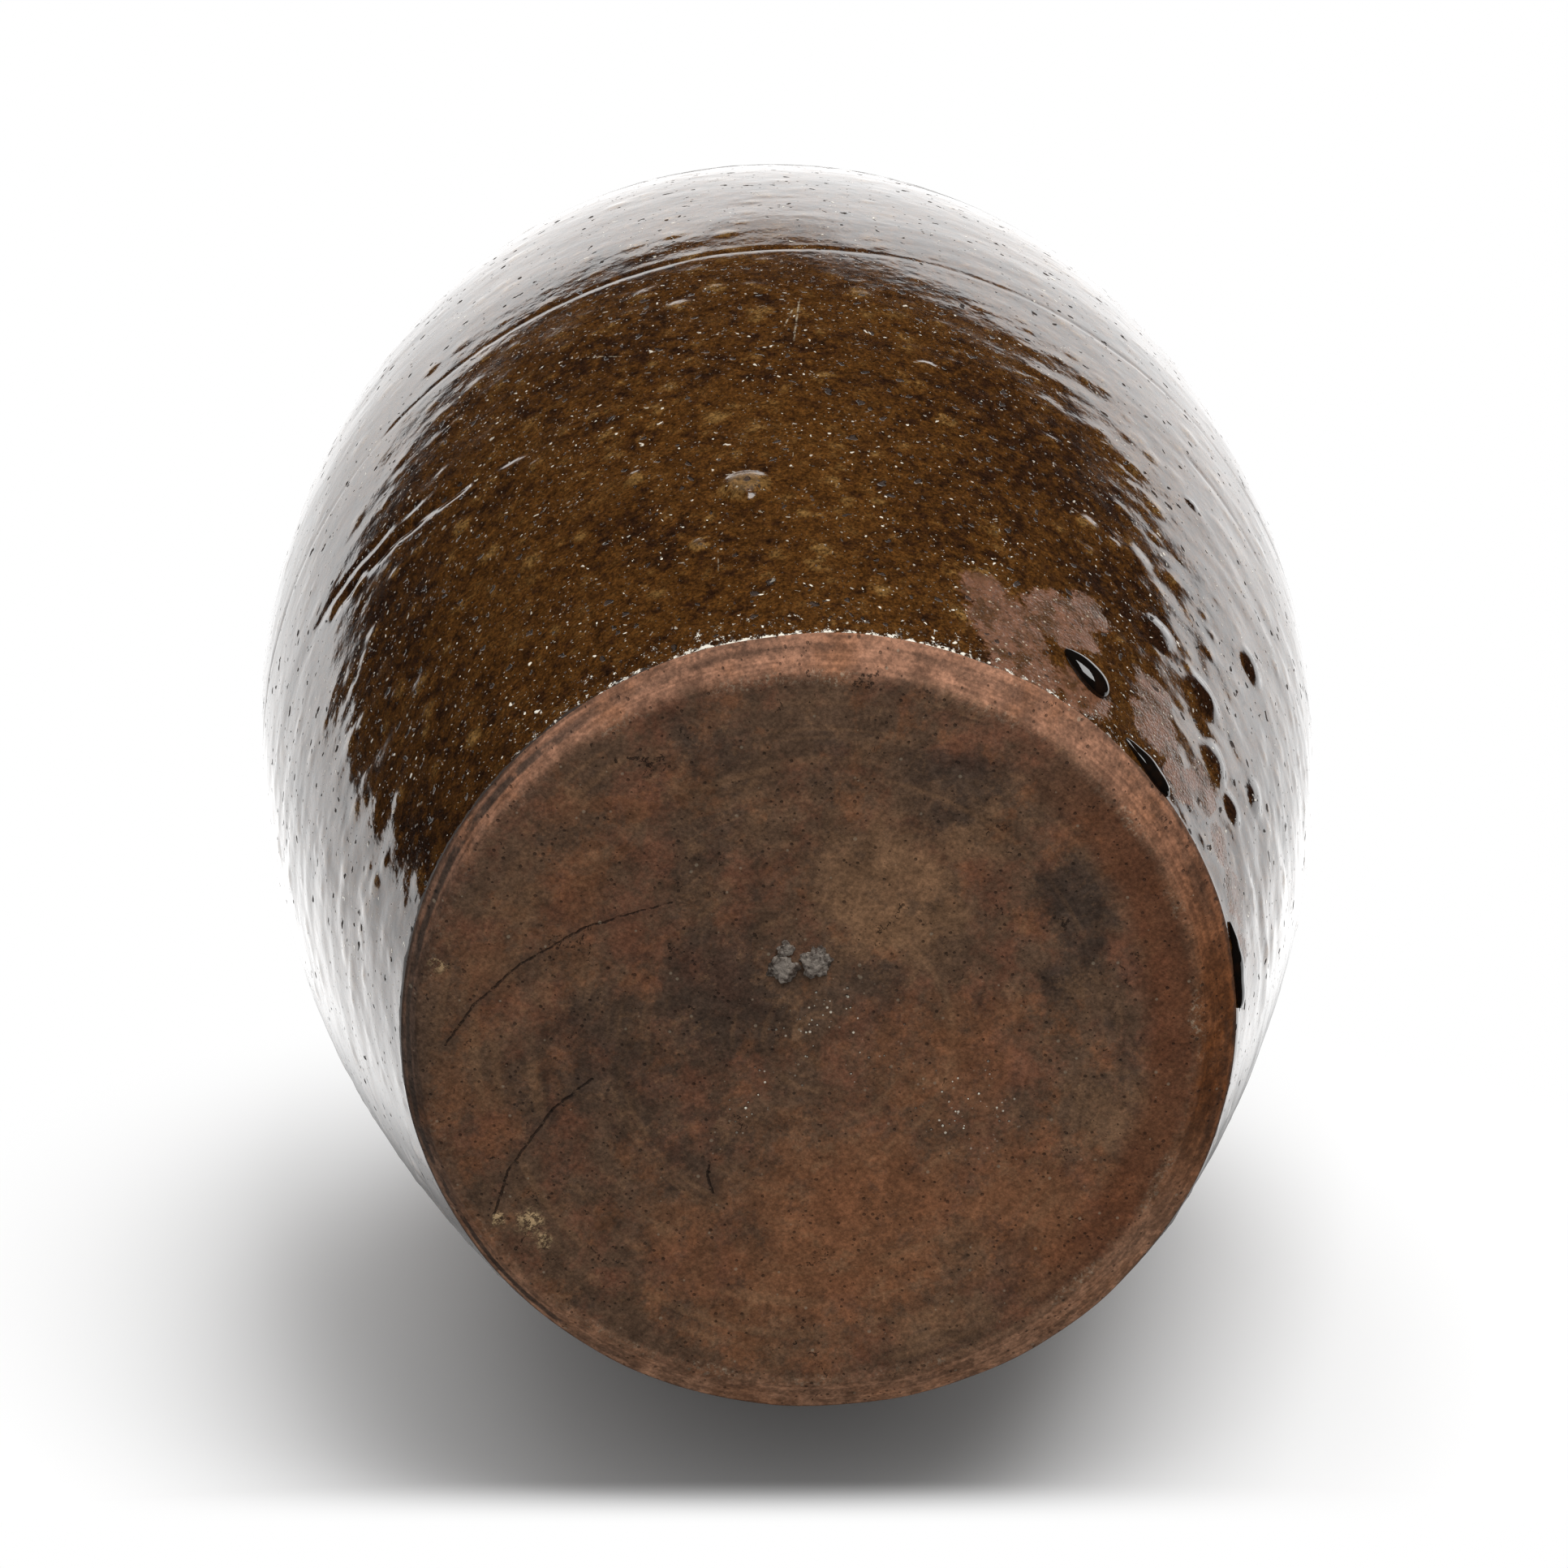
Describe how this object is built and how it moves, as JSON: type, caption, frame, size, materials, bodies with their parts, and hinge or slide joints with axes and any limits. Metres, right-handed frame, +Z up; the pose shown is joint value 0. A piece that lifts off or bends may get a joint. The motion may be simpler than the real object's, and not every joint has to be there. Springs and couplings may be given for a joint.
{
  "type": "martaban jar",
  "caption": "Tall swelling stoneware storage jar with a bare foot, brown glaze, short neck, rolled rim and cord lugs.",
  "frame": {"origin": "centre of the flat ring that the jar stands on, on its own axis", "axes": "+Z up along the jar's axis from the foot to the mouth; +X and +Y through two of the four cord lugs"},
  "size_m": [0.26, 0.26, 0.392],
  "materials": {
    "brown_glaze": "glossy dark brown glaze, mottled, over thrown stoneware",
    "inner_glaze": "thin brown glaze inside",
    "dark_drops": "thick black-brown glassy drops",
    "bare_clay": "bare fired clay, matt, clouded red and grey brown",
    "kiln_grit": "pale rough kiln grit"
  },
  "bodies": {
    "root": {"base_slab": "bare_clay", "corner_coil": "inner_glaze", "lower_wall": "brown_glaze", "middle_wall": "brown_glaze", "belly_wall": "brown_glaze", "shoulder_wall": "brown_glaze", "neck_collar": "brown_glaze", "rolled_rim": "brown_glaze", "lug_1": "brown_glaze", "lug_2": "brown_glaze", "lug_3": "brown_glaze", "lug_4": "brown_glaze", "glaze_drops": "dark_drops", "kiln_grit": "kiln_grit"}
  },
  "joints": []
}
